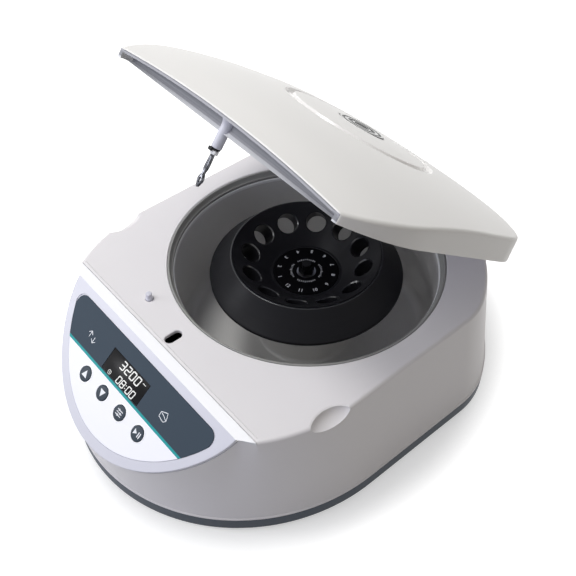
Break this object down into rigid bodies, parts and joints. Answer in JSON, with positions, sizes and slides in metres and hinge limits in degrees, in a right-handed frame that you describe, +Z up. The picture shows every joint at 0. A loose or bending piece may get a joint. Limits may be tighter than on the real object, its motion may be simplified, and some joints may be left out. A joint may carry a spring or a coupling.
{
  "type": "bench centrifuge for blood tubes",
  "caption": "Bench centrifuge with a domed lid on rear hinges, a conical rotor with slanted tube holes in a round chamber, and a sloped control panel.",
  "frame": {"origin": "bottom centre of the bounding box, on the surface that the feet stand on, with the lid open", "axes": "+Z up, +Y towards the lid's hinges, -Y towards the control panel, +X to the right seen from the panel"},
  "size_m": [0.297, 0.384, 0.2864],
  "materials": {
    "white_plastic": "satin",
    "panel_plastic": "satin",
    "overlay_film": "satin film",
    "dark_plastic": "matte",
    "window_plastic": "gloss",
    "rubber": "matte",
    "bowl_metal": "brushed",
    "rotor_black": "black anodised, satin",
    "steel": "brushed",
    "silver": "polished",
    "board": "matte"
  },
  "bodies": {
    "base": {"base_tray": "dark_plastic", "chamber_bowl": "bowl_metal", "chamber_gasket": "rubber", "control_board": "board", "control_overlay": "overlay_film", "display_module": "dark_plastic", "display_window": "window_plastic", "foot_front_left": "rubber", "foot_front_right": "rubber", "foot_rear_left": "rubber", "foot_rear_right": "rubber", "front_fascia": "panel_plastic", "fuse_holder": "dark_plastic", "hinge_bracket_left": "steel", "hinge_bracket_right": "steel", "hinge_pin_left": "steel", "hinge_pin_right": "steel", "housing_screw_1": "steel", "housing_screw_2": "steel", "housing_screw_3": "steel", "housing_screw_4": "steel", "isolator_1": "rubber", "isolator_2": "rubber", "isolator_3": "rubber", "isolator_4": "rubber", "lid_switch_body": "dark_plastic", "lock_solenoid": "dark_plastic", "main_board": "board", "motor_body": "dark_plastic", "motor_plate": "steel", "power_inlet": "dark_plastic", "rear_plate": "panel_plastic", "rocker_frame": "dark_plastic", "upper_housing": "white_plastic"},
    "lid": {"lid_shell": "white_plastic", "lid_liner": "panel_plastic", "lid_badge": "silver", "latch_boss": "white_plastic", "latch_collar": "dark_plastic", "latch_nut": "white_plastic", "latch_pin": "steel", "hinge_arm_left": "steel", "hinge_arm_right": "steel"},
    "rotor": {"motor_shaft": "steel", "rotor_head": "rotor_black", "rotor_dial": "rotor_black", "rotor_hub": "steel", "rotor_nut": "dark_plastic"},
    "key_up": {"key_up": "dark_plastic"},
    "key_down": {"key_down": "dark_plastic"},
    "key_set": {"key_set": "dark_plastic"},
    "key_run": {"key_run": "dark_plastic"},
    "lid_switch_plunger": {"lid_switch_plunger": "white_plastic"},
    "lock_catch": {"lock_catch": "steel"},
    "power_rocker": {"power_rocker": "dark_plastic"}
  },
  "joints": [
    {"name": "lid_hinge", "type": "hinge", "parent": "base", "child": "lid", "pos_m": [0, 0.1632, 0.099], "axis": [1, 0, 0], "range_deg": [0, 37.4]},
    {"name": "rotor_spin", "type": "hinge", "parent": "base", "child": "rotor", "pos_m": [0, 0.0305, 0.0887], "axis": [0, 0, 1], "continuous": true},
    {"name": "key_up_press", "type": "slide", "parent": "base", "child": "key_up", "axis": [0, 0.6455, -0.7638], "range_m": [0, 0.001], "stiffness_N_per_m": 1200, "springref_m": -0.0005},
    {"name": "key_down_press", "type": "slide", "parent": "base", "child": "key_down", "axis": [0, 0.6455, -0.7638], "range_m": [0, 0.001], "stiffness_N_per_m": 1200, "springref_m": -0.0005},
    {"name": "key_set_press", "type": "slide", "parent": "base", "child": "key_set", "axis": [0, 0.6455, -0.7638], "range_m": [0, 0.001], "stiffness_N_per_m": 1200, "springref_m": -0.0005},
    {"name": "key_run_press", "type": "slide", "parent": "base", "child": "key_run", "axis": [0, 0.6455, -0.7638], "range_m": [0, 0.001], "stiffness_N_per_m": 1200, "springref_m": -0.0005},
    {"name": "lid_switch_press", "type": "slide", "parent": "base", "child": "lid_switch_plunger", "axis": [0, 0, -1], "range_m": [0, 0.003], "stiffness_N_per_m": 300, "springref_m": -0.002},
    {"name": "lock_slide", "type": "slide", "parent": "base", "child": "lock_catch", "axis": [1, 0, 0], "range_m": [0, 0.006], "stiffness_N_per_m": 300, "springref_m": -0.003},
    {"name": "power_switch", "type": "hinge", "parent": "base", "child": "power_rocker", "pos_m": [0.027, 0.1806, 0.04983], "axis": [-1, 0, 0], "range_deg": [0, 20]}
  ]
}
